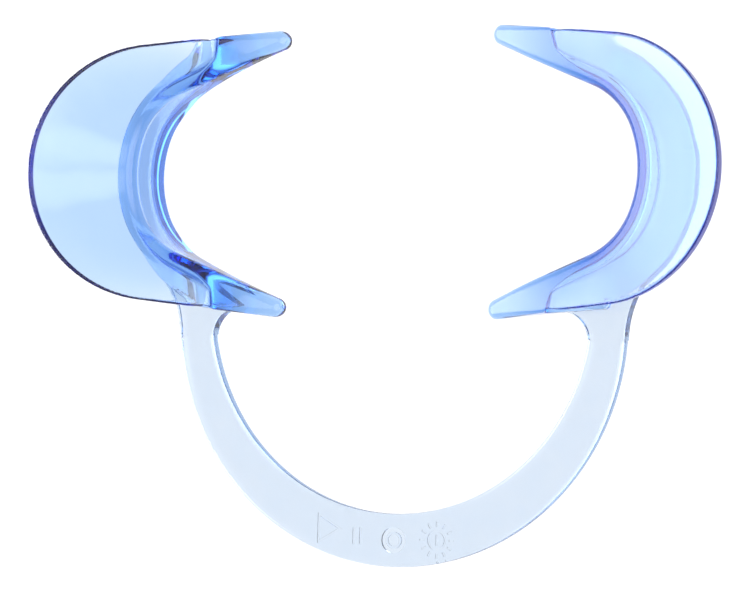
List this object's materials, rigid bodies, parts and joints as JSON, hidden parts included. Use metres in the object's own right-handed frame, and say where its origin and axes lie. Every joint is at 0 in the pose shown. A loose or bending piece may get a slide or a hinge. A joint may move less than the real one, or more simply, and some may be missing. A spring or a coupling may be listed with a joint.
{
  "type": "cheek retractor",
  "caption": "Clear plastic cheek retractor: two C-shaped lip channels with horns, joined by a springy U-shaped bow that can be squeezed.",
  "frame": {"origin": "centre of the bounding box at its bottom, which is the plane that the back of the bow and of the lip flanges rest on", "axes": "+X from the left cup to the right cup, +Y from the crown of the bow to the cups, +Z out of the flat back towards the side that goes into the mouth"},
  "size_m": [0.149, 0.1078, 0.0232],
  "materials": {
    "cup_plastic": "clear blue, polished",
    "bow_plastic": "clear, very faintly blue, polished"
  },
  "bodies": {
    "left_side": {"left_lip_flange": "cup_plastic", "left_channel_wall": "cup_plastic", "left_cheek_flange": "cup_plastic", "left_upper_horn": "cup_plastic", "left_lower_horn": "cup_plastic", "left_neck": "bow_plastic", "left_bow_arm": "bow_plastic", "crown": "bow_plastic"},
    "right_side": {"right_lip_flange": "cup_plastic", "right_channel_wall": "cup_plastic", "right_cheek_flange": "cup_plastic", "right_upper_horn": "cup_plastic", "right_lower_horn": "cup_plastic", "right_neck": "bow_plastic", "right_bow_arm": "bow_plastic"}
  },
  "joints": [
    {"name": "bow_flex", "type": "hinge", "parent": "left_side", "child": "right_side", "pos_m": [0, -0.04858, 0], "axis": [0, 0, 1], "range_deg": [-4, 18], "stiffness_Nm_per_rad": 2.2, "deforming": ["crown"]}
  ]
}
